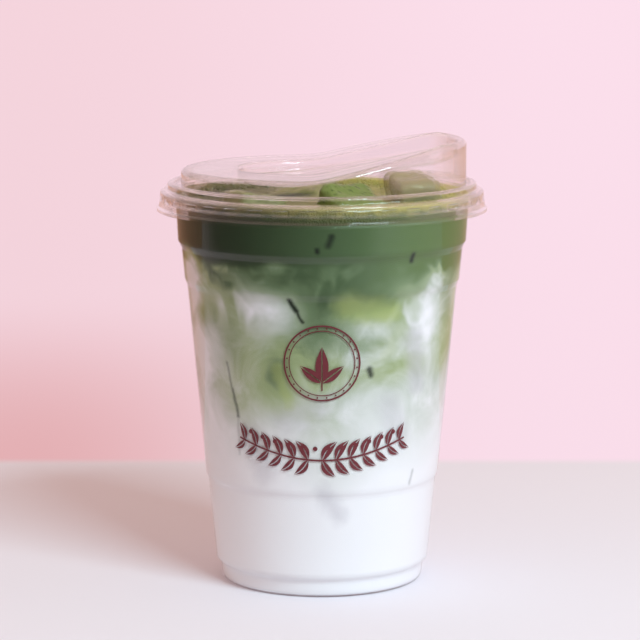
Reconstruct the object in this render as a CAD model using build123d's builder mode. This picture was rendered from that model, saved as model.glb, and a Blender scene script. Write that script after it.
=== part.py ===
from build123d import *

import math
import os

os.makedirs("parts", exist_ok=True)

# Iced matcha latte in a clear takeaway cup with a strawless sip lid.
# Millimetres. The origin is the middle of the cup's foot, on the table.
# +Z is up, and the spout points along +X.

# Cup: thin clear wall with four moulded steps, under a rolled rim.
cup_height = 121.6
cup_wall = 0.5
foot_r = 31.4
foot_round = 1.5
push_up = 2.0
foot_ring = 3.4
base_step_z = 5.2
base_step_r = 31.8
base_step_rise = 1.4
base_step_out = 1.4
hip_z = 32.0
hip_r = 35.6
hip_rise = 1.4
hip_out = 0.7
band_drop = 29.0
band_r = 41.9
band_rise = 2.0
band_out = 0.8
mouth_drop = 17.4
mouth_step_r = 43.6
mouth_rise = 2.2
mouth_out = 1.1
mouth_r = 45.4
curl_r = 1.95
curl_slit = 0.8

# Lid: a ring that snaps over the rim, and a raised drum whose top climbs to the spout.
lid_wall = 0.4
seat_gap = 0.1
skirt_gap = 1.15
skirt_drop = 5.9
skirt_flare = 0.6
lip_out = 0.65
lip_height = 0.8
ring_height = 2.25
ring_width = 2.2
groove_depth = 0.95
lip_round = 0.3
skirt_foot_round = 0.4
shoulder_round = 1.1
ring_foot_round = 0.42
ring_out_round = 0.85
ring_in_round = 0.45
groove_round = 0.25
lug_count = 38
lug_width = 5.3
lug_height = 2.0
lug_gap = 0.1
lug_draft = 30.0
drum_r = 44.0
drum_shift = 0.5
drum_rise = 6.9
drum_round = 1.9
spout_rise = 9.0
spout_start_x = -2.0
spout_slope = 13.2
spout_bend = 40.0
spout_brow = 12.0
well_half_width = 22.0
well_left_x = -25.5
well_depth = 3.6
well_slope = 9.3
well_slope_x = -9.0
well_draft = 6.0
well_corner = 5.0
well_bend = 25.0
well_round = 1.0
well_brink = 1.3
spout_lip = 4.2
sip_length = 20.0
sip_width = 7.0
sip_x = 36.8
vent_r = 0.6
vent_x = -9.6
vent_y = -26.5

# Drink: milk, the matcha that lies on it, and the froth on top.
head_space = 2.6
froth_depth = 3.2
froth_swing = 0.35
matcha_depth = 33.0
milk_swing = 3.2

# Ice that stands above the drink: X and Y of its middle, size, turn about X, Y and Z, and rounding.
# A drop is from the drink's top down to a cube's middle, but the front cube's is from under the lid's well.
spout_ice = ((28.2, -7.0), (14.0, 22.0, 19.0), (8, -6, 14), 2.6)
spout_ice_drop = 1.4
front_ice = ((8.0, -20.5), (19.0, 18.0, 20.0), (21, 16, 30), 3.4)
front_ice_drop = 10.5
left_ice = ((-22.0, -20.0), (17.0, 18.0, 19.0), (-12, 9, 28), 2.8)
left_ice_drop = 5.2
back_ice = ((-6.0, 22.0), (22.0, 19.0, 19.0), (10, -13, -22), 3.0)
back_ice_drop = 6.4

# Reach of cutting forms: well past the object, and just past a face.
far = 100.0
over = 2.0

rim_z = cup_height - curl_r
rim_mid_r = mouth_r - cup_wall + curl_r
rim_r = rim_mid_r + curl_r
drink_top = cup_height - head_space
froth_low = drink_top - froth_depth
matcha_low = froth_low - matcha_depth


def side_points():
    """The outside of the cup's wall, from above the foot to the rim."""
    band_z = cup_height - band_drop
    mouth_z = cup_height - mouth_drop
    return [
        (base_step_r, base_step_z),
        (base_step_r + base_step_out, base_step_z + base_step_rise),
        (hip_r, hip_z),
        (hip_r + hip_out, hip_z + hip_rise),
        (band_r, band_z),
        (band_r + band_out, band_z + band_rise),
        (mouth_step_r, mouth_z),
        (mouth_step_r + mouth_out, mouth_z + mouth_rise),
        (mouth_r, rim_z),
    ]


def cup_form(inset):
    """Half section of the cup's outside, drawn in by inset and closed to the axis at the rim."""
    side = [(r - inset, z) for r, z in side_points()]
    foot = foot_r - foot_round
    reach = (foot_round - inset) * math.sqrt(0.5)
    with BuildSketch(Plane.XZ) as form:
        with BuildLine():
            Polyline(
                (0, push_up + inset),
                (foot - foot_ring - push_up + inset, push_up + inset),
                (foot - foot_ring + inset, inset),
                (foot, inset),
            )
            ThreePointArc(
                (foot, inset),
                (foot + reach, foot_round - reach),
                (foot_r - inset, foot_round),
            )
            Polyline((foot_r - inset, foot_round), *side, (0, rim_z), (0, push_up + inset))
        make_face()
    return form.sketch


# Cup
with BuildPart() as cup:
    revolve(cup_form(0), axis=Axis.Z)
    revolve(cup_form(cup_wall), axis=Axis.Z, mode=Mode.SUBTRACT)
    with BuildSketch(Plane.XZ):
        with Locations((rim_mid_r, rim_z)):
            Circle(curl_r)
            Circle(curl_r - cup_wall, mode=Mode.SUBTRACT)
        with Locations((mouth_r + curl_slit / 2, rim_z - curl_r)):
            Rectangle(curl_slit, 2 * curl_r, mode=Mode.SUBTRACT)
    revolve(axis=Axis.Z)
cup.part.label = "cup"
export_step(cup.part, "parts/cup.step")


# Lid
skirt_r = rim_r + skirt_gap + lid_wall
skirt_low = cup_height - skirt_drop
bead_top = cup_height + seat_gap + lid_wall
ring_foot_r = rim_mid_r + 2 * lid_wall
ring_top = bead_top + ring_height
groove_r = ring_foot_r - ring_width
groove_z = ring_top - groove_depth
drum_top = cup_height + drum_rise
spout_top = drum_top + spout_rise
spout_x = spout_start_x + spout_rise / math.tan(math.radians(spout_slope))
well_z = drum_top - well_depth


def ring_form(inset):
    """Half section of the snap ring and the disc inside it, drawn in by inset."""
    with BuildSketch(Plane.XZ) as form:
        with BuildLine():
            outline = FilletPolyline(
                (skirt_r + lip_out, skirt_low - inset),
                (skirt_r + lip_out, skirt_low + lip_height),
                (skirt_r, skirt_low + lip_height + lip_out),
                (skirt_r - skirt_flare, bead_top),
                (ring_foot_r, bead_top),
                (ring_foot_r, ring_top),
                (groove_r, ring_top),
                (groove_r, groove_z),
                (-over, groove_z),
                radius=(
                    lip_round,
                    skirt_foot_round,
                    shoulder_round,
                    ring_foot_round,
                    ring_out_round,
                    ring_in_round,
                    groove_round,
                ),
            )
            Polyline(outline @ 1, (-over, skirt_low - inset), outline @ 0)
        make_face()
        if inset:
            offset(amount=-inset, kind=Kind.INTERSECTION, mode=Mode.REPLACE)
        with Locations((-far / 2, cup_height)):
            Rectangle(far, far, mode=Mode.SUBTRACT)
    return form.sketch


def top_form(inset):
    """Side view of all that lies above the drum's top, let down by inset."""
    with BuildSketch(Plane.XZ) as form:
        with BuildLine():
            outline = FilletPolyline(
                (-far, drum_top),
                (spout_start_x, drum_top),
                (spout_x, spout_top),
                (far, spout_top),
                radius=(spout_bend, spout_brow),
            )
            Polyline(outline @ 1, (far, drum_top + far), (-far, drum_top + far), outline @ 0)
        make_face()
        if inset:
            offset(amount=inset, kind=Kind.INTERSECTION)
    return form.sketch


def well_form(inset):
    """The drinking well as a solid: a long bowl that climbs to the spout."""
    with BuildPart() as well:
        with BuildSketch(Plane.XY.offset(well_z - inset)) as plan:
            with Locations((drum_shift, 0)):
                Circle(drum_r - spout_lip + inset)
            with Locations((well_left_x - inset + far / 2, 0)):
                SlotOverall(far, 2 * (well_half_width + inset), mode=Mode.INTERSECT)
            fillet(plan.vertices().group_by(Axis.X)[-1], well_corner + inset)
        extrude(amount=spout_top - well_z + over, taper=-well_draft)
        with BuildSketch(Plane.XZ):
            with BuildLine():
                outline = FilletPolyline(
                    (-far, well_z - inset),
                    (well_slope_x, well_z - inset),
                    (well_slope_x + far, well_z - inset + far * math.tan(math.radians(well_slope))),
                    radius=well_bend,
                )
                Polyline(outline @ 1, (far, 0), (-far, 0), outline @ 0)
            make_face()
        extrude(amount=far, both=True, mode=Mode.SUBTRACT)
        floor = well.faces().filter_by(lambda f: f.normal_at().Z < -0.9)
        fillet(floor.edges().filter_by(Axis.Y, reverse=True), well_round)
    return well.part


def lid_form(inset):
    """The lid's outside as a solid, or its inside when drawn in by the wall."""
    with BuildPart() as form:
        revolve(ring_form(inset), axis=Axis.Z)
        with BuildSketch(Plane.XY.offset(groove_z - over)):
            with Locations((drum_shift, 0)):
                Circle(drum_r - inset)
        extrude(amount=spout_top - groove_z + 2 * over)
        extrude(top_form(inset), amount=far, both=True, mode=Mode.SUBTRACT)
        rim = form.edges().filter_by(lambda e: e.center().Z > drum_top - 1)
        fillet(rim, drum_round - inset)
        add(well_form(inset), mode=Mode.SUBTRACT)
        brink = form.edges(Select.LAST).filter_by(lambda e: e.center().Z > drum_top - well_round)
        fillet(brink, well_brink - inset)
    return form.part


def lug_form(inset):
    """One press-in lug of the skirt, as the solid that dents it."""
    lug_in = skirt_r - rim_r - lug_gap - lid_wall
    spread = 2 * (lug_in * math.tan(math.radians(lug_draft)) + inset)
    with BuildPart() as lug:
        with BuildSketch(Plane.YZ.offset(skirt_r + lug_in)):
            with Locations((0, rim_z)):
                Rectangle(lug_width + spread, lug_height + spread)
        extrude(amount=-2 * lug_in - inset, taper=lug_draft)
    return lug.part


with BuildPart() as lid:
    add(lid_form(0))
    with PolarLocations(0, lug_count):
        add(lug_form(0), mode=Mode.SUBTRACT)
    with BuildPart(mode=Mode.PRIVATE) as inside:
        add(lid_form(lid_wall))
        with PolarLocations(0, lug_count):
            add(lug_form(lid_wall), mode=Mode.SUBTRACT)
    add(inside.part, mode=Mode.SUBTRACT)
    with BuildSketch(Plane.XY.offset(spout_top)):
        with Locations((sip_x, 0)):
            SlotOverall(sip_length, sip_width, rotation=90)
        with Locations((vent_x, vent_y)):
            Circle(vent_r)
    extrude(amount=drink_top - spout_top, mode=Mode.SUBTRACT)
lid.part.label = "lid"
export_step(lid.part, "parts/lid.step")


# Ice that stands out of the drink
def ice_form(spot, size, turn, rounding, height):
    """One worn ice cube, set at its place, height and turn."""
    with BuildPart(Plane(Location((*spot, height), turn))) as cube:
        Box(*size)
        fillet(cube.edges(), rounding)
    return cube.part


ice = {
    "ice_spout": ice_form(*spout_ice, drink_top - spout_ice_drop),
    "ice_front": ice_form(*front_ice, well_z - lid_wall - front_ice_drop),
    "ice_left": ice_form(*left_ice, drink_top - left_ice_drop),
    "ice_back": ice_form(*back_ice, drink_top - back_ice_drop),
}
for name, cube in ice.items():
    cube.label = name
    export_step(cube, f"parts/{name}.step")


# Drink
def wave(height, swing, waves):
    """A gently uneven level across the cup, as a spline face."""
    reach = mouth_r + 5
    steps = 12
    rows = []
    for i in range(steps + 1):
        x = reach * (2 * i / steps - 1)
        row = []
        for j in range(steps + 1):
            y = reach * (2 * j / steps - 1)
            lift = sum(
                share * math.sin(math.tau * (x * math.cos(way) + y * math.sin(way)) / length + start)
                for share, length, way, start in waves
            )
            row.append((x, y, height + swing * lift))
        rows.append(row)
    return Face.make_surface_from_array_of_points(rows)


froth_waves = ((0.6, 61.0, 0.4, 0.7), (0.4, 37.0, 2.1, 2.0))
matcha_waves = ((0.5, 78.0, 1.2, 0.3), (0.5, 49.0, 2.6, 1.1))
milk_waves = ((0.55, 90.0, 0.2, 2.4), (0.45, 52.0, 1.9, 0.6))
froth_face = wave(drink_top, froth_swing, froth_waves)
matcha_face = wave(froth_low, froth_swing, matcha_waves)
milk_face = wave(matcha_low, milk_swing, milk_waves)


def drink_form(under, over):
    """The drink inside the cup's wall, between the two faces given, cut round the ice."""
    with BuildPart() as layer:
        revolve(cup_form(cup_wall), axis=Axis.Z)
        split(bisect_by=under, keep=Keep.BOTTOM)
        if over is not None:
            split(bisect_by=over, keep=Keep.TOP)
        for cube in ice.values():
            add(cube, mode=Mode.SUBTRACT)
    return layer.part


layers = {
    "froth": drink_form(froth_face, matcha_face),
    "matcha": drink_form(matcha_face, milk_face),
    "milk": drink_form(milk_face, None),
}
for name, layer in layers.items():
    layer.label = name
    export_step(layer, f"parts/{name}.step")
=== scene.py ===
import math
import random

import bmesh
import bpy
import numpy as np
from mathutils import Matrix, Vector, noise


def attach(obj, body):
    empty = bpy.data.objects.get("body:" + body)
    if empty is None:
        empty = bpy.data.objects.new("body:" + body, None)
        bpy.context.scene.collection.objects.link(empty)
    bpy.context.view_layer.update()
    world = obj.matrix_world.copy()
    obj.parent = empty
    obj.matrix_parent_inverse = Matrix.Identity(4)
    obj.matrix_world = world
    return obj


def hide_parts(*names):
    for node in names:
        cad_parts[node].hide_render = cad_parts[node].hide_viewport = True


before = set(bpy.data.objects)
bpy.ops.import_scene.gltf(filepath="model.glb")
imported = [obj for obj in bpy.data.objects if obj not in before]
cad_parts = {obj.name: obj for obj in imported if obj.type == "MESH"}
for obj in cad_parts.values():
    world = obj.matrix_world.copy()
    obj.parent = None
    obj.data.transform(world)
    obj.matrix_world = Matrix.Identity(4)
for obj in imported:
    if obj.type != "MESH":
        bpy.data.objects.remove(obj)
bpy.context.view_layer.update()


# Camera: at the front, a little above the lid, looking down on the cup as a guest at the counter would.
# It is a long lens far off, so the cup's sides stay nearly straight.
MM = 0.001
eye_spot = (-0.6 * MM, -853.2 * MM, 214.7 * MM)
eye_dip = 8.92
eye_lens = 156.3
eye = bpy.data.objects.new("eye", bpy.data.cameras.new("eye"))
eye.data.sensor_width = 36
eye.data.lens = eye_lens
eye.data.clip_start = 0.01
eye.location = eye_spot
eye.rotation_euler = (math.radians(90 - eye_dip), 0, 0)
bpy.context.collection.objects.link(eye)
bpy.context.scene.camera = eye
bpy.context.scene.view_settings.view_transform = "Standard"


# Counter and wall: a pale floor that turns to pale pink some way behind the cup. The wall is no lamp but
# glows with painted light: a little lighter at the right, with painted shade low at the left and a beige
# glow far to either side. The floor carries painted shade towards the front and the left, for the cup to
# reflect.
# The daylight is soft: one large window high at the right and front, and warm walls all round the room.
def material(name):
    """A new material, its node tree and its Principled shader."""
    made = bpy.data.materials.new(name)
    made.use_nodes = True
    return made, made.node_tree, made.node_tree.nodes["Principled BSDF"]


def node(tree, kind, **inputs):
    """A shader node with its inputs set, or linked where the value is an output.

    Names with a leading capital are sockets, I0 and I1 are sockets by number, and the rest are settings.
    """
    made = tree.nodes.new(kind)
    for name, value in inputs.items():
        if name[0].islower():
            setattr(made, name, value)
            continue
        key = int(name[1:]) if name[1:].isdigit() else name.replace("_", " ")
        if isinstance(value, bpy.types.NodeSocket):
            tree.links.new(value, made.inputs[key])
        else:
            made.inputs[key].default_value = value
    return made


def maths(tree, operation, first, second=0.0, third=0.0):
    """One Math node's result."""
    return node(tree, "ShaderNodeMath", operation=operation, I0=first, I1=second, I2=third).outputs[0]


def vector_maths(tree, operation, first, second, result="Vector"):
    """One Vector Math node's result."""
    return node(tree, "ShaderNodeVectorMath", operation=operation, I0=first, I1=second).outputs[result]


def scaled(tree, vector, scale):
    """A vector made longer or shorter."""
    return node(tree, "ShaderNodeVectorMath", operation="SCALE", I0=vector, Scale=scale).outputs["Vector"]


def soft_step(tree, value, low, high):
    """0 below low, 1 above high, and a smooth rise between."""
    return node(
        tree, "ShaderNodeMapRange", interpolation_type="SMOOTHSTEP",
        Value=value, From_Min=low, From_Max=high,
    ).outputs[0]


def blend(tree, share, first, second):
    """A mix of two colours."""
    made = node(tree, "ShaderNodeMix", data_type="RGBA", I0=share)
    for key, value in (("A", first), ("B", second)):
        socket = next(s for s in made.inputs if s.name == key and s.type == "RGBA")
        if isinstance(value, bpy.types.NodeSocket):
            tree.links.new(value, socket)
        else:
            socket.default_value = value
    return next(s for s in made.outputs if s.type == "RGBA")


def srgb(red, green, blue):
    """A colour given as 0 to 255 screen values, none under 11."""
    return tuple(((value / 255 + 0.055) / 1.055) ** 2.4 for value in (red, green, blue)) + (1,)


def place(name, mesh, *materials):
    """A new object that holds the mesh and its materials."""
    made = bpy.data.objects.new(name, mesh)
    for one in materials:
        mesh.materials.append(one)
    bpy.context.collection.objects.link(made)
    return made


counter_reach = 12.0
wall_start = 165 * MM
wall_blur = 14 * MM
fan_foot = 0.853
black = (0, 0, 0, 1)
pale_floor, floor_painted_shade = srgb(228, 227, 234), srgb(62, 54, 52)
wall_glow_shaded, wall_glow_lit, wall_painted_shade = srgb(239, 207, 216), srgb(246, 218, 231), srgb(224, 172, 176)
beige_glow_left, beige_glow_right = srgb(198, 142, 108), srgb(214, 172, 148)
floor_mesh = bpy.data.meshes.new("counter")
floor_mesh.from_pydata(
    [(x * counter_reach, y * counter_reach, 0) for x, y in ((-1, -1), (1, -1), (1, 1), (-1, 1))],
    [], [(0, 1, 2, 3)],
)
counter_paint, tree, shader = material("counter")
spot = node(tree, "ShaderNodeSeparateXYZ", Vector=node(tree, "ShaderNodeNewGeometry").outputs["Position"])
behind = soft_step(tree, spot.outputs["Y"], wall_start, wall_start + wall_blur)
across = maths(tree, "DIVIDE", spot.outputs["X"], maths(tree, "ADD", spot.outputs["Y"], fan_foot))
# Painted light on the glowing wall: a little lighter towards the right.
side = soft_step(tree, across, -0.12, 0.10)
wall = blend(tree, side, wall_glow_shaded, wall_glow_lit)
# Painted shade on the glowing wall, low down and to the left.
low = soft_step(tree, spot.outputs["Y"], 0.62, 0.17)
low = maths(tree, "MULTIPLY", low, soft_step(tree, across, 0.03, -0.11))
wall = blend(tree, low, wall, wall_painted_shade)
# Far to either side the wall glows beige, painted light that warms the cup and shows in its edges.
beyond = soft_step(tree, maths(tree, "ABSOLUTE", across), 0.118, 0.20)
wall = blend(tree, beyond, wall, blend(tree, side, beige_glow_left, beige_glow_right))
# Painted shade on the floor: it darkens towards the front and the left, so the cup reflects a dark room
# there.
shade_towards_front = maths(tree, "MULTIPLY", spot.outputs["Y"], -1.0)
shade_towards_front = maths(tree, "MULTIPLY_ADD", spot.outputs["X"], -0.5, shade_towards_front)
floor = blend(tree, soft_step(tree, shade_towards_front, 0.14, 0.34), pale_floor, floor_painted_shade)
tree.links.new(blend(tree, behind, floor, black), shader.inputs["Base Color"])
tree.links.new(blend(tree, behind, black, wall), shader.inputs["Emission Color"])
shader.inputs["Emission Strength"].default_value = 1.0
shader.inputs["Roughness"].default_value = 0.85
shader.inputs["Specular IOR Level"].default_value = 0.2
counter = place("counter", floor_mesh, counter_paint)

room_left, room_right = (0.54, 0.34, 0.25, 1), (0.93, 0.71, 0.78, 1)
room_front, room_above = (0.13, 0.11, 0.11, 1), (0.78, 0.54, 0.47, 1)
sky = bpy.data.worlds.new("sky")
bpy.context.scene.world = sky
sky.use_nodes = True
tree = sky.node_tree
facing = node(tree, "ShaderNodeSeparateXYZ", Vector=node(tree, "ShaderNodeTexCoord").outputs["Generated"])
room = blend(tree, soft_step(tree, facing.outputs["X"], -0.95, -0.35), room_left, room_right)
room = blend(tree, soft_step(tree, facing.outputs["Y"], -0.1, -0.7), room, room_front)
room = blend(tree, soft_step(tree, facing.outputs["Z"], 0.2, 0.6), room, room_above)
tree.links.new(room, tree.nodes["Background"].inputs["Color"])

window_spot = Vector((0.62, -0.92, 1.0))
window_aim = Vector((0, 0, 0.07))
lamp = bpy.data.lights.new("window", "AREA")
lamp.shape = "RECTANGLE"
lamp.size, lamp.size_y = 0.66, 0.36
lamp.energy = 18.0
lamp.color = (0.68, 0.92, 1.0)
window = bpy.data.objects.new("window", lamp)
window.location = window_spot
window.rotation_euler = (window_aim - window_spot).to_track_quat("-Z", "Y").to_euler()
bpy.context.collection.objects.link(window)


# Cup and lid: clear thermoformed plastic, thin and glossy, with faint waves from the mould.
# The lid snaps over the cup's rolled rim. Daylight passes through and lights the drink inside.
bare_share = 0.4
bare_tint = (0.992, 0.99, 0.988, 1)


def clear_plastic(name, tint, wave_height):
    """Clear plastic that casts no dark shadow on what it holds, with a share that bends no light."""
    made, tree, shader = material(name)
    shader.inputs["Base Color"].default_value = tint
    shader.inputs["Roughness"].default_value = 0.03
    shader.inputs["IOR"].default_value = 1.09
    shader.inputs["Coat Weight"].default_value = 1.0
    shader.inputs["Coat Roughness"].default_value = 0.03
    shader.inputs["Transmission Weight"].default_value = 1.0
    spot = node(tree, "ShaderNodeTexCoord").outputs["Object"]
    waves = node(tree, "ShaderNodeTexNoise", Vector=spot, Scale=85.0, Detail=2.0, Roughness=0.5)
    bump = node(tree, "ShaderNodeBump", Height=waves.outputs["Fac"], Strength=0.5, Distance=wave_height)
    tree.links.new(bump.outputs["Normal"], shader.inputs["Normal"])
    path = node(tree, "ShaderNodeLightPath")
    clear = node(tree, "ShaderNodeBsdfTransparent", Color=bare_tint)
    lit = node(tree, "ShaderNodeMixShader", Fac=path.outputs["Is Shadow Ray"])
    tree.links.new(shader.outputs[0], lit.inputs[1])
    tree.links.new(clear.outputs[0], lit.inputs[2])
    glow = node(tree, "ShaderNodeMixShader", Fac=path.outputs["Is Diffuse Ray"])
    tree.links.new(lit.outputs[0], glow.inputs[1])
    tree.links.new(clear.outputs[0], glow.inputs[2])
    thin = node(tree, "ShaderNodeMixShader", Fac=bare_share)
    tree.links.new(glow.outputs[0], thin.inputs[1])
    tree.links.new(clear.outputs[0], thin.inputs[2])
    tree.links.new(thin.outputs[0], tree.nodes["Material Output"].inputs["Surface"])
    return made


def dress(name, paint):
    """Gives a part of the frame its material and smooth shading."""
    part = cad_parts[name]
    for slot in part.material_slots:
        slot.material = paint
    with bpy.context.temp_override(object=part, active_object=part, selected_editable_objects=[part]):
        bpy.ops.object.shade_auto_smooth(angle=math.radians(35))


dress("cup", clear_plastic("cup_plastic", (0.995, 0.99, 0.985, 1), 0.02 * MM))
dress("lid", clear_plastic("lid_plastic", (0.995, 0.985, 0.98, 1), 0.01 * MM))


# Drink: cold milk below, matcha poured over it, and the two marbling where they meet.
# One turned body that reaches just into the cup's wall, so the plastic lies wet against it all over.
# The wall's inner side is given as (radius, height) in millimetres, with its four moulded steps.
reach_in = 0.12
froth_low = 115.8
inner_wall = [
    (0.0, 2.5), (24.9, 2.5), (27.0, 0.5), (29.9, 0.5), (30.6, 0.8), (30.9, 1.5),
    (31.3, 5.2), (32.7, 6.6), (35.1, 32.0), (35.8, 33.4), (41.4, 92.6), (42.2, 94.6),
    (43.1, 104.2), (44.2, 106.4), (44.67, froth_low),
]


def turned(name, outline, steps, out=0.0):
    """A mesh turned about the cup's axis from (radius, height) points, closed at both ends."""
    rings = [(r + out if r > 0 else 0.0, z) for r, z in outline]
    spots, faces, starts = [], [], []
    for r, z in rings:
        starts.append(len(spots))
        for k in range(steps if r > 0 else 1):
            turn = math.tau * k / steps
            spots.append((r * math.cos(turn) * MM, r * math.sin(turn) * MM, z * MM))
    for (a, (ra, _)), (b, (rb, _)) in zip(zip(starts, rings), zip(starts[1:], rings[1:])):
        for k in range(steps):
            n = (k + 1) % steps
            if ra == 0:
                faces.append((a, b + n, b + k))
            elif rb == 0:
                faces.append((a + k, a + n, b))
            else:
                faces.append((a + k, a + n, b + n, b + k))
    mesh = bpy.data.meshes.new(name)
    mesh.from_pydata(spots, [], faces)
    mesh.shade_smooth()
    return mesh


def finer(outline, step):
    """The same outline with points no more than step apart."""
    points = [outline[0]]
    for (r0, z0), (r1, z1) in zip(outline, outline[1:]):
        parts = max(1, math.ceil(math.hypot(r1 - r0, z1 - z0) / step))
        points += [(r0 + (r1 - r0) * k / parts, z0 + (z1 - z0) * k / parts) for k in range(1, parts + 1)]
    return points


# Where the pour sank into the milk, as (place across the front, height, half width, half height, strength).
# A negative strength is a swirl of milk carried up into the green.
plumes = {
    "sunk_left": (-29, 76, 8, 13, 0.26),
    "sunk_far_left": (-38, 88, 7, 10, 0.45),
    "tongue": (-15, 71, 6, 9, 0.36),
    "middle": (-1, 84, 10, 8, 0.50),
    "right_shoulder": (17, 91, 10, 4, 0.55),
    "right_thread": (14, 79, 9, 3, 0.28),
    "right_low": (24, 66, 7, 8, 0.16),
    "milk_curl": (-17, 91, 9, 4, -0.20),
    "milk_spike": (-13, 103, 6, 2.5, -0.50),
    "milk_veil": (-2, 98, 8, 3, -0.25),
    "milk_right": (34, 99, 6, 6, -0.40),
    "milk_left": (-27, 101, 8, 3, -0.22),
    "milk_low_right": (34, 82, 9, 10, -0.24),
    "milk_low_middle": (-17, 86, 10, 6, -0.12),
}
# Each plume comes back round the cup's sides and back, as (how far along the wall, how strong).
twins = ((0, 1.0), (95, 0.8), (-88, 0.9), (176, 0.9))
plume_r = 43
girth_r = 42
girth = 264


def tea_share(x, y, z):
    """How much matcha shows at a spot of the wall: 0 is milk and 1 is pure matcha."""
    turn = np.arctan2(x, -y)
    bend = 5 * np.sin(2 * turn + 0.6) + 4 * np.sin(3 * turn + 2.1) + 2.5 * np.sin(7 * turn + 1.0)
    rise = np.clip((z - 87.5 + bend * 0.6) / 20.5, 0, 1)
    veil = np.clip((z - 38 + bend) / 36, 0, 1)
    share = rise * rise * (3 - 2 * rise) + 0.29 * veil
    around = turn * girth_r
    for across, height, half_width, half_height, strength in plumes.values():
        for twin, weight in twins:
            gap = (around - math.asin(across / plume_r) * girth_r - twin + girth / 2) % girth - girth / 2
            share = share + weight * strength * np.exp(
                -((gap / half_width) ** 2) - ((z - height + twin * 0.03) / half_height) ** 2
            )
    return np.clip(share, 0, 1)


def bar_group():
    """A mask of a soft bar on the wall, between two spots given as (along, height) in millimetres."""
    group = bpy.data.node_groups.new("bar_on_wall", "ShaderNodeTree")
    for name in ("Spot", "Start", "End"):
        group.interface.new_socket(name, in_out="INPUT", socket_type="NodeSocketVector")
    for name in ("Reach", "Core"):
        group.interface.new_socket(name, in_out="INPUT", socket_type="NodeSocketFloat")
    group.interface.new_socket("Mask", in_out="OUTPUT", socket_type="NodeSocketFloat")
    given = group.nodes.new("NodeGroupInput").outputs
    line = vector_maths(group, "SUBTRACT", given["End"], given["Start"])
    gap = vector_maths(group, "SUBTRACT", given["Spot"], given["Start"])
    ahead = vector_maths(group, "DOT_PRODUCT", gap, line, "Value")
    whole = vector_maths(group, "DOT_PRODUCT", line, line, "Value")
    part = node(group, "ShaderNodeClamp", Value=maths(group, "DIVIDE", ahead, whole)).outputs[0]
    off = vector_maths(group, "DISTANCE", gap, scaled(group, line, part), "Value")
    mask = node(
        group, "ShaderNodeMapRange", interpolation_type="SMOOTHSTEP", Value=off,
        From_Min=given["Reach"], From_Max=given["Core"],
    ).outputs[0]
    group.links.new(mask, group.nodes.new("NodeGroupOutput").inputs["Mask"])
    return group


bar_on_wall = bar_group()


def bars(tree, spot, places):
    """The strongest of several soft bars, each a start, an end, a reach, a core and a strength."""
    most = 0.0
    for start, end, reach, core, strength in places:
        one = node(
            tree, "ShaderNodeGroup", node_tree=bar_on_wall, Spot=spot,
            Start=(*start, 0), End=(*end, 0), Reach=reach, Core=core,
        ).outputs["Mask"]
        most = maths(tree, "MAXIMUM", most, maths(tree, "MULTIPLY", one, strength))
    return most


# Dark slits between sunk ice cubes: deep matcha, with painted shade in the gaps. Each is its start and its
# end as (along, height), then its reach and its core in millimetres, and its strength, as in the two lists
# after it.
shaded_slits = (
    ((-9.3, 93.0), (-7.4, 89.6), 1.3, 0.0, 1.0),
    ((-8.0, 90.6), (-5.6, 86.4), 0.9, 0.0, 0.9),
    ((-32.4, 72.0), (-30.4, 62.0), 1.0, 0.0, 0.45),
    ((-30.6, 64.0), (-29.0, 56.0), 1.3, 0.0, 0.65),
    ((-29.0, 55.0), (-29.6, 44.0), 1.0, 0.0, 0.22),
    ((14.6, 71.6), (15.2, 70.0), 1.8, 0.0, 0.9),
    ((2.6, 112.6), (1.6, 109.8), 1.6, 0.0, 0.85),
    ((-1.3, 108.4), (-1.2, 108.0), 1.3, 0.0, 1.0),
    ((26.4, 105.6), (26.6, 104.0), 1.5, 0.0, 0.95),
    ((41.0, 118.0), (42.0, 116.0), 1.6, 0.0, 0.7),
    ((33.0, 34.5), (34.4, 38.0), 1.2, 0.0, 0.3),
)

# Yellow-green patches, where thin matcha lies over ice.
limes = (
    ((7.0, 91.0), (21.0, 88.5), 6.5, 0.5, 0.75),
    ((-13.5, 71.5), (-10.5, 61.0), 4.4, 0.4, 0.65),
    ((24.0, 82.0), (20.0, 74.0), 5.0, 0.5, 0.3),
)

# Grey shades in the milk, where ice lies just behind it.
shades = (
    ((0.5, 33.5), (5.5, 27.0), 5.5, 0.0, 0.42),
    ((6.0, 29.5), (7.6, 25.5), 2.2, 0.0, 0.25),
    ((22.0, 60.0), (27.0, 50.0), 7.0, 1.0, 0.35),
    ((-12.0, 56.0), (-2.0, 60.0), 7.0, 1.0, 0.30),
    ((-24.0, 50.0), (-20.0, 40.0), 7.0, 1.0, 0.35),
    ((30.0, 80.0), (33.0, 66.0), 6.0, 1.0, 0.40),
)

lime_green, ice_grey, slit_shade_dark = srgb(170, 184, 112), srgb(186, 182, 190), srgb(34, 40, 32)
# Painted shade and painted light for the green parts of the drink: darker at the left, brighter at the
# right.
painted_shade_green, painted_light_green = srgb(24, 36, 26), srgb(88, 112, 52)
wall_r = 40.0
drink_paint, tree, shader = material("milk_and_matcha")
spot = node(tree, "ShaderNodeTexCoord").outputs["Object"]
place_mm = scaled(tree, spot, 1000.0)
axes = node(tree, "ShaderNodeSeparateXYZ", Vector=place_mm).outputs
height = axes["Z"]
turn = maths(tree, "ARCTAN2", axes["X"], maths(tree, "MULTIPLY", axes["Y"], -1.0))
along = maths(tree, "MULTIPLY", turn, wall_r)
wobble = node(tree, "ShaderNodeTexNoise", Vector=place_mm, Scale=0.22, Detail=3.0)
shift = vector_maths(tree, "SUBTRACT", wobble.outputs["Color"], (0.5, 0.5, 0.5))
shift = vector_maths(tree, "MULTIPLY", shift, (4.0, 4.0, 0.0))
flat = node(tree, "ShaderNodeCombineXYZ", X=along, Y=height).outputs[0]
stirred = vector_maths(tree, "ADD", flat, shift)
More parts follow.
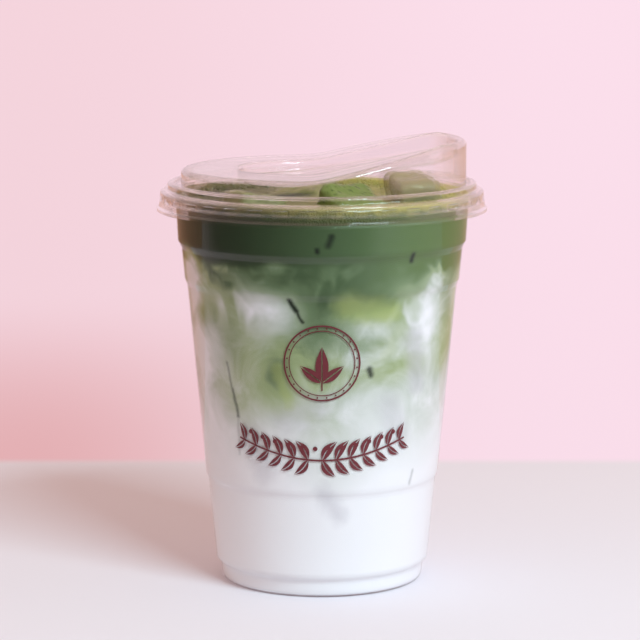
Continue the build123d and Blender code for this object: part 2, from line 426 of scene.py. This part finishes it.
nudged = vector_maths(tree, "ADD", flat, scaled(tree, shift, 0.35))
share = node(tree, "ShaderNodeAttribute", attribute_name="tea").outputs["Fac"]
swirl = node(
    tree, "ShaderNodeTexNoise", Vector=place_mm, Scale=0.06, Detail=5.0, Roughness=0.55, Distortion=0.7
)
thread = node(
    tree, "ShaderNodeTexNoise", Vector=place_mm, Scale=0.05, Detail=2.0, Roughness=0.4, Distortion=1.2
)
warm = node(tree, "ShaderNodeTexNoise", Vector=place_mm, Scale=0.03, Detail=2.0, Roughness=0.5)
stir = maths(tree, "MULTIPLY_ADD", swirl.outputs["Fac"], 1.3, -0.65)
unsettled = soft_step(tree, height, 38.0, 70.0)
unsettled = maths(tree, "MULTIPLY", unsettled, soft_step(tree, height, 109.0, 100.0))
share = maths(tree, "ADD", share, maths(tree, "MULTIPLY", stir, maths(tree, "MULTIPLY", unsettled, 0.75)))
ridge = maths(tree, "ABSOLUTE", maths(tree, "SUBTRACT", thread.outputs["Fac"], 0.5))
streak = soft_step(tree, ridge, 0.15, 0.0)
streak = maths(tree, "MULTIPLY", streak, soft_step(tree, swirl.outputs["Fac"], 0.40, 0.66))
wispy = maths(tree, "MULTIPLY", soft_step(tree, height, 106.5, 101.0), soft_step(tree, height, 74.0, 96.0))
streak = maths(tree, "MULTIPLY", streak, wispy)
share = maths(tree, "SUBTRACT", share, maths(tree, "MULTIPLY", streak, 0.42))
ramp = node(tree, "ShaderNodeValToRGB", Fac=share)
stops = (
    (0.0, (240, 240, 243)), (0.14, (214, 218, 213)), (0.30, (190, 198, 187)), (0.46, (150, 164, 138)),
    (0.68, (120, 141, 104)), (1.0, (90, 113, 76)),
)
while len(ramp.color_ramp.elements) < len(stops):
    ramp.color_ramp.elements.new(0.5)
for element, (at, colour) in zip(ramp.color_ramp.elements, stops):
    element.position = at
    element.color = srgb(*colour)
leafy = maths(tree, "MULTIPLY", soft_step(tree, share, 0.1, 0.4), soft_step(tree, share, 0.75, 0.5))
leafy = maths(tree, "MULTIPLY", leafy, soft_step(tree, warm.outputs["Fac"], 0.42, 0.62))
leafy = maths(tree, "MULTIPLY", leafy, 0.4)
leafy = maths(tree, "MAXIMUM", leafy, bars(tree, stirred, limes))
colour = blend(tree, leafy, ramp.outputs[0], lime_green)
# Painted shade: the green parts darken towards the left, away from the window.
left_painted_shade = maths(tree, "MULTIPLY", soft_step(tree, axes["X"], 36.0, -40.0), soft_step(tree, share, 0.42, 1.0))
colour = blend(tree, maths(tree, "MULTIPLY", left_painted_shade, 0.88), colour, painted_shade_green)
colour = blend(tree, bars(tree, stirred, shades), colour, ice_grey)
# Painted light: the greenest parts brighten towards the right, by the window.
right_painted_light = maths(tree, "MULTIPLY", soft_step(tree, axes["X"], 4.0, 36.0), soft_step(tree, share, 0.6, 0.95))
colour = blend(tree, maths(tree, "MULTIPLY", right_painted_light, 0.65), colour, painted_light_green)
# Painted shade in the slits between the sunk ice.
colour = blend(tree, bars(tree, nudged, shaded_slits), colour, slit_shade_dark)
tree.links.new(colour, shader.inputs["Base Color"])
shader.inputs["Roughness"].default_value = 0.4
shader.inputs["Specular IOR Level"].default_value = 0.15
drink_step, drink_turns = 1.5, 256
drink_mesh = turned("drink", finer(inner_wall, drink_step) + [(0.0, froth_low)], drink_turns, reach_in)
spots = np.empty(len(drink_mesh.vertices) * 3)
drink_mesh.vertices.foreach_get("co", spots)
spots = spots.reshape(-1, 3) / MM
drink_mesh.attributes.new("tea", "FLOAT", "POINT").data.foreach_set("value", tea_share(*spots.T))
drink = place("drink", drink_mesh, drink_paint)
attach(drink, "root")
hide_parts("milk", "matcha")


# Froth: fine whisked bubbles that float on the matcha, olive green and a little uneven.
# It laps against the wall all round, and slumps about the ice that stands through it.
froth_top = 119.0
# Painted light and shade: each froth colour comes as a shaded copy for the left and a lit copy for the
# right.
olive_painted_shade, olive_painted_light = srgb(92, 86, 50), srgb(182, 174, 88)
deep_painted_shade, deep_painted_light = srgb(26, 34, 20), srgb(90, 106, 48)
pool_shade_green = srgb(20, 32, 20)
froth_paint, tree, shader = material("froth")
spot = node(tree, "ShaderNodeTexCoord").outputs["Object"]
place_mm = scaled(tree, spot, 1000.0)
axes = node(tree, "ShaderNodeSeparateXYZ", Vector=place_mm).outputs
grain = node(tree, "ShaderNodeTexVoronoi", Vector=spot, Scale=1400.0)
patch = node(tree, "ShaderNodeTexNoise", Vector=spot, Scale=260.0, Detail=5.0, Roughness=0.6)
light = maths(tree, "MULTIPLY_ADD", patch.outputs["Fac"], 1.6, maths(tree, "MULTIPLY", axes["Z"], 0.30))
light = soft_step(tree, light, 35.9, 37.0)
# Painted light: the froth brightens from left to right.
painted_light_side = soft_step(tree, axes["X"], -40.0, 36.0)
olive = blend(tree, painted_light_side, olive_painted_shade, olive_painted_light)
deep = blend(tree, painted_light_side, deep_painted_shade, deep_painted_light)
bump = node(tree, "ShaderNodeBump", Height=grain.outputs["Distance"], Strength=0.6, Distance=0.3 * MM)
tree.links.new(bump.outputs["Normal"], shader.inputs["Normal"])
shader.inputs["Roughness"].default_value = 0.45
from_above = node(tree, "ShaderNodeCombineXYZ", X=axes["X"], Y=axes["Y"]).outputs[0]
# Dark pools where the froth has parted between the ice, matcha painted near black as shade, with their ends
# as (x, y).
shaded_pools = (((-13.0, 3.0), (-6.0, 9.0), 5.0, 2.0, 1.0), ((-30.0, -22.0), (-34.0, -14.0), 4.0, 1.0, 0.8))
colour = blend(tree, bars(tree, from_above, shaded_pools), blend(tree, light, deep, olive), pool_shade_green)
tree.links.new(colour, shader.inputs["Base Color"])
# The outline climbs to a low collar of foam against the wall.
froth_body = [
    (0.0, froth_low), (44.67, froth_low), (44.82, 118.2), (44.95, 119.6), (45.05, 120.5), (44.7, 120.9),
    (43.9, 120.6), (43.0, 119.8), (41.8, froth_top + 0.1), (40.0, froth_top), (0.0, froth_top),
]
froth_step, froth_turns = 0.8, 288
level_r = 44.6
froth_mesh = turned("froth_top", finer(froth_body, froth_step), froth_turns, reach_in)
for corner in froth_mesh.vertices:
    radius = math.hypot(corner.co.x, corner.co.y)
    if corner.co.z > (froth_top - 0.2) * MM and radius < level_r * MM:
        lump = noise.noise(corner.co * 160) * 0.5 + noise.noise(corner.co * 520) * 0.35
        corner.co.z += lump * MM
# Loose bubbles crowd towards the wall and ride up the collar.
bubble_count = 900
bubble_small, bubble_spread = 0.22, 0.75
bubble_edge, bubble_belt = 44.3, 9
collar_r, collar_slope = 41.6, 0.42
foam = bmesh.new()
foam.from_mesh(froth_mesh)
draw = random.Random(11)
for _ in range(bubble_count):
    turn = draw.uniform(0, math.tau)
    size = bubble_small + bubble_spread * draw.random() ** 3
    out = bubble_edge - size - draw.random() ** 2 * bubble_belt
    lift = froth_top + 0.15 + max(0.0, out - collar_r) * collar_slope + draw.uniform(-0.1, 0.15)
    bmesh.ops.create_icosphere(
        foam, subdivisions=1, radius=size * MM,
        matrix=Matrix.Translation((out * math.cos(turn) * MM, out * math.sin(turn) * MM, lift * MM)),
    )
foam.to_mesh(froth_mesh)
foam.free()
froth_mesh.shade_smooth()
froth = place("froth_top", froth_mesh, froth_paint)
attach(froth, "root")
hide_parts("froth")


# Ice: four machine-made cubes that stand out of the drink under the lid, wet and worn round.
# They are beige and half clear, stained green at their feet, with froth splashed over the front one.
speck_green = srgb(44, 66, 30)
ice_skin = 0.5


def ice_paint(name, clear, stain, cover):
    """Wet ice: see-through above, stained from its foot, with specks of froth over a share of it."""
    made, tree, shader = material(name)
    spot = node(tree, "ShaderNodeTexCoord").outputs["Object"]
    rise = node(tree, "ShaderNodeSeparateXYZ", Vector=spot).outputs["Z"]
    cloud = node(tree, "ShaderNodeTexNoise", Vector=spot, Scale=170.0, Detail=4.0, Roughness=0.6)
    speck = node(tree, "ShaderNodeTexNoise", Vector=spot, Scale=900.0, Detail=2.0)
    soak = maths(tree, "MULTIPLY_ADD", cloud.outputs["Fac"], 0.02, rise)
    foot = soft_step(tree, soak, froth_top * MM + 0.016, froth_top * MM + 0.008)
    colour = blend(tree, maths(tree, "MAXIMUM", foot, cover), clear, stain)
    dots = maths(tree, "MULTIPLY", soft_step(tree, speck.outputs["Fac"], 0.60, 0.68), cover)
    tree.links.new(blend(tree, dots, colour, speck_green), shader.inputs["Base Color"])
    bump = node(tree, "ShaderNodeBump", Height=cloud.outputs["Fac"], Strength=0.6, Distance=0.4 * MM)
    tree.links.new(bump.outputs["Normal"], shader.inputs["Normal"])
    shader.inputs["Roughness"].default_value = 0.22
    shader.inputs["IOR"].default_value = 1.31
    shader.inputs["Transmission Weight"].default_value = 0.45 * (1 - cover)
    return made


def wear(name, size):
    """Melts a cube's plain faces into an uneven, wet shape."""
    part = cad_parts[name]
    finer_skin = part.modifiers.new("finer", "REMESH")
    finer_skin.mode = "VOXEL"
    finer_skin.voxel_size = ice_skin * MM
    finer_skin.use_smooth_shade = True
    for label, scale, depth in (("melt", 9.0, size), ("ripple", 2.6, size * 0.3)):
        clouds = bpy.data.textures.new(name + "_" + label, "CLOUDS")
        clouds.noise_scale = scale * MM
        melt = part.modifiers.new(label, "DISPLACE")
        melt.texture = clouds
        melt.texture_coords = "LOCAL"
        melt.mid_level = 0.75
        melt.strength = depth * MM


beige, green = srgb(186, 172, 128), srgb(104, 128, 60)
for name, size in (("ice_spout", 2.0), ("ice_front", 2.2), ("ice_left", 2.6), ("ice_back", 2.4)):
    wear(name, size)
dress("ice_spout", ice_paint("ice_clear", beige, srgb(132, 138, 84), 0.15))
dress("ice_front", ice_paint("ice_frothed", beige, green, 0.9))
dress("ice_left", ice_paint("ice_left", srgb(200, 190, 150), srgb(112, 124, 62), 0.45))
dress("ice_back", ice_paint("ice_back", beige, srgb(120, 130, 70), 0.3))


# Print: one thin dark red ink on the cup's front, a ring of tea leaves over a garland of sprigs.
# It lies on the wall between the two moulded steps and follows its curve.
ink_dark, ink_light = srgb(94, 28, 36), srgb(122, 44, 52)
ink_paint, tree, shader = material("print")
spot = node(tree, "ShaderNodeTexCoord").outputs["Object"]
mottle = node(tree, "ShaderNodeTexNoise", Vector=spot, Scale=900.0, Detail=2.0)
tree.links.new(blend(tree, mottle.outputs["Fac"], ink_dark, ink_light), shader.inputs["Base Color"])
shader.inputs["Roughness"].default_value = 0.45
ink_height = 0.06
ink_thickness = 0.03
# The wall's height and outer radius at the panel's foot and at its top.
panel_low = (33.4, 36.3)
panel_high = (92.6, 41.9)
ink = bmesh.new()


def on_wall(along, height):
    """A point of ink on the wall, along millimetres right of the front's middle, at that height."""
    lean = (height - panel_low[0]) / (panel_high[0] - panel_low[0])
    radius = panel_low[1] + lean * (panel_high[1] - panel_low[1]) + ink_height
    turn = along / radius
    return ink.verts.new((radius * math.sin(turn) * MM, -radius * math.cos(turn) * MM, height * MM))


def sheet_of(rows):
    """Joins rows of points, each an (along, height) pair, into one skin."""
    made = [[on_wall(*point) for point in row] for row in rows]
    for upper, lower in zip(made, made[1:]):
        for k in range(len(upper) - 1):
            ink.faces.new((upper[k], upper[k + 1], lower[k + 1], lower[k]))


def stroke(points, width):
    """A line of ink through the points."""
    rows = []
    for k, (x, z) in enumerate(points):
        x0, z0 = points[max(k - 1, 0)]
        x1, z1 = points[min(k + 1, len(points) - 1)]
        size = math.hypot(x1 - x0, z1 - z0)
        off = (-(z1 - z0) / size * width / 2, (x1 - x0) / size * width / 2)
        rows.append([(x + off[0], z + off[1]), (x - off[0], z - off[1])])
    sheet_of(rows)


def ring_of(middle, radius, width, parts=96):
    """A round line of ink."""
    turns = [math.tau * k / parts for k in range(parts + 1)]
    stroke([(middle[0] + radius * math.cos(t), middle[1] + radius * math.sin(t)) for t in turns], width)


def leaf(foot, angle, length, width, bow=0.12):
    """A solid pointed leaf with a slit of bare wall along its vein, each half several strips wide."""
    ahead = (math.cos(angle), math.sin(angle))
    aside = (-ahead[1], ahead[0])
    steps, strips = 12, 3
    for half in (-1, 1):
        rows = []
        for k in range(steps + 1):
            t = k / steps
            edge = width / 2 * math.sin(math.pi * t ** 0.85)
            vein = min(0.16, edge * 0.5)
            row = []
            for m in range(strips + 1):
                out = half * (vein + (edge - vein) * m / strips) + bow * length * math.sin(math.pi * t)
                row.append(tuple(foot[n] + ahead[n] * length * t + aside[n] * out for n in (0, 1)))
            rows.append(row)
        sheet_of(rows)


def berry(middle, radius):
    """A solid dot."""
    rows = []
    parts = 16
    for k in range(parts + 1):
        turn = math.tau * k / parts
        rows.append([middle, (middle[0] + radius * math.cos(turn), middle[1] + radius * math.sin(turn))])
    sheet_of(rows)


crest = (0.0, 74.0)
crest_r, crest_inner_r = 11.4, 9.9
crest_dots, crest_dot_r = 24, 10.65
sprig_drop, stalk_drop = 6.0, 8.4
ring_of(crest, crest_r, 0.5)
ring_of(crest, crest_inner_r, 0.28)
for turn, size in ((90, 11.0), (38, 8.4), (142, 8.4)):
    leaf((crest[0], crest[1] - sprig_drop), math.radians(turn), size, size * 0.36, 0.0)
stroke([(crest[0], crest[1] - stalk_drop), (crest[0], crest[1] - sprig_drop)], 0.4)
for k in range(crest_dots):
    turn = math.tau * (k + 0.5) / crest_dots
    berry((crest[0] + crest_dot_r * math.cos(turn), crest[1] + crest_dot_r * math.sin(turn)), 0.26)

garland_half = 27.0
garland_ends, garland_sag = 49.5, 5.5
garland_steps = 24
pair_gap, pair_count = 4.15, 6
leaf_length, leaf_taper, leaf_splay = 7.4, 0.28, 52


def garland(along):
    """The height of the garland's stem."""
    return garland_ends - garland_sag * math.cos(math.pi * along / (2 * garland_half))


stem = [k * garland_half / garland_steps for k in range(-garland_steps, garland_steps + 1)]
stroke([(x, garland(x)) for x in stem], 0.55)
for k in range(-pair_count, pair_count + 1):
    x = k * pair_gap
    lean = math.atan2(garland(x + 0.5) - garland(x - 0.5), 1.0)
    way = 1 if k >= 0 else -1
    base = lean if way > 0 else lean + math.pi
    size = leaf_length - leaf_taper * abs(k)
    splay = way * math.radians(leaf_splay)
    leaf((x, garland(x)), base + splay, size, size * 0.38, 0.1 * way)
    leaf((x, garland(x)), base - splay, size * 0.9, size * 0.34, -0.1 * way)
    if k:
        berry((x - way * 2.1, garland(x - way * 2.1) + 3.6), 0.7)
bmesh.ops.remove_doubles(ink, verts=ink.verts, dist=0.001 * MM)
print_mesh = bpy.data.meshes.new("print")
ink.normal_update()
ink.to_mesh(print_mesh)
print_piece = place("print", print_mesh, ink_paint)
thick = print_piece.modifiers.new("thick", "SOLIDIFY")
thick.thickness = ink_thickness * MM
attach(print_piece, "root")
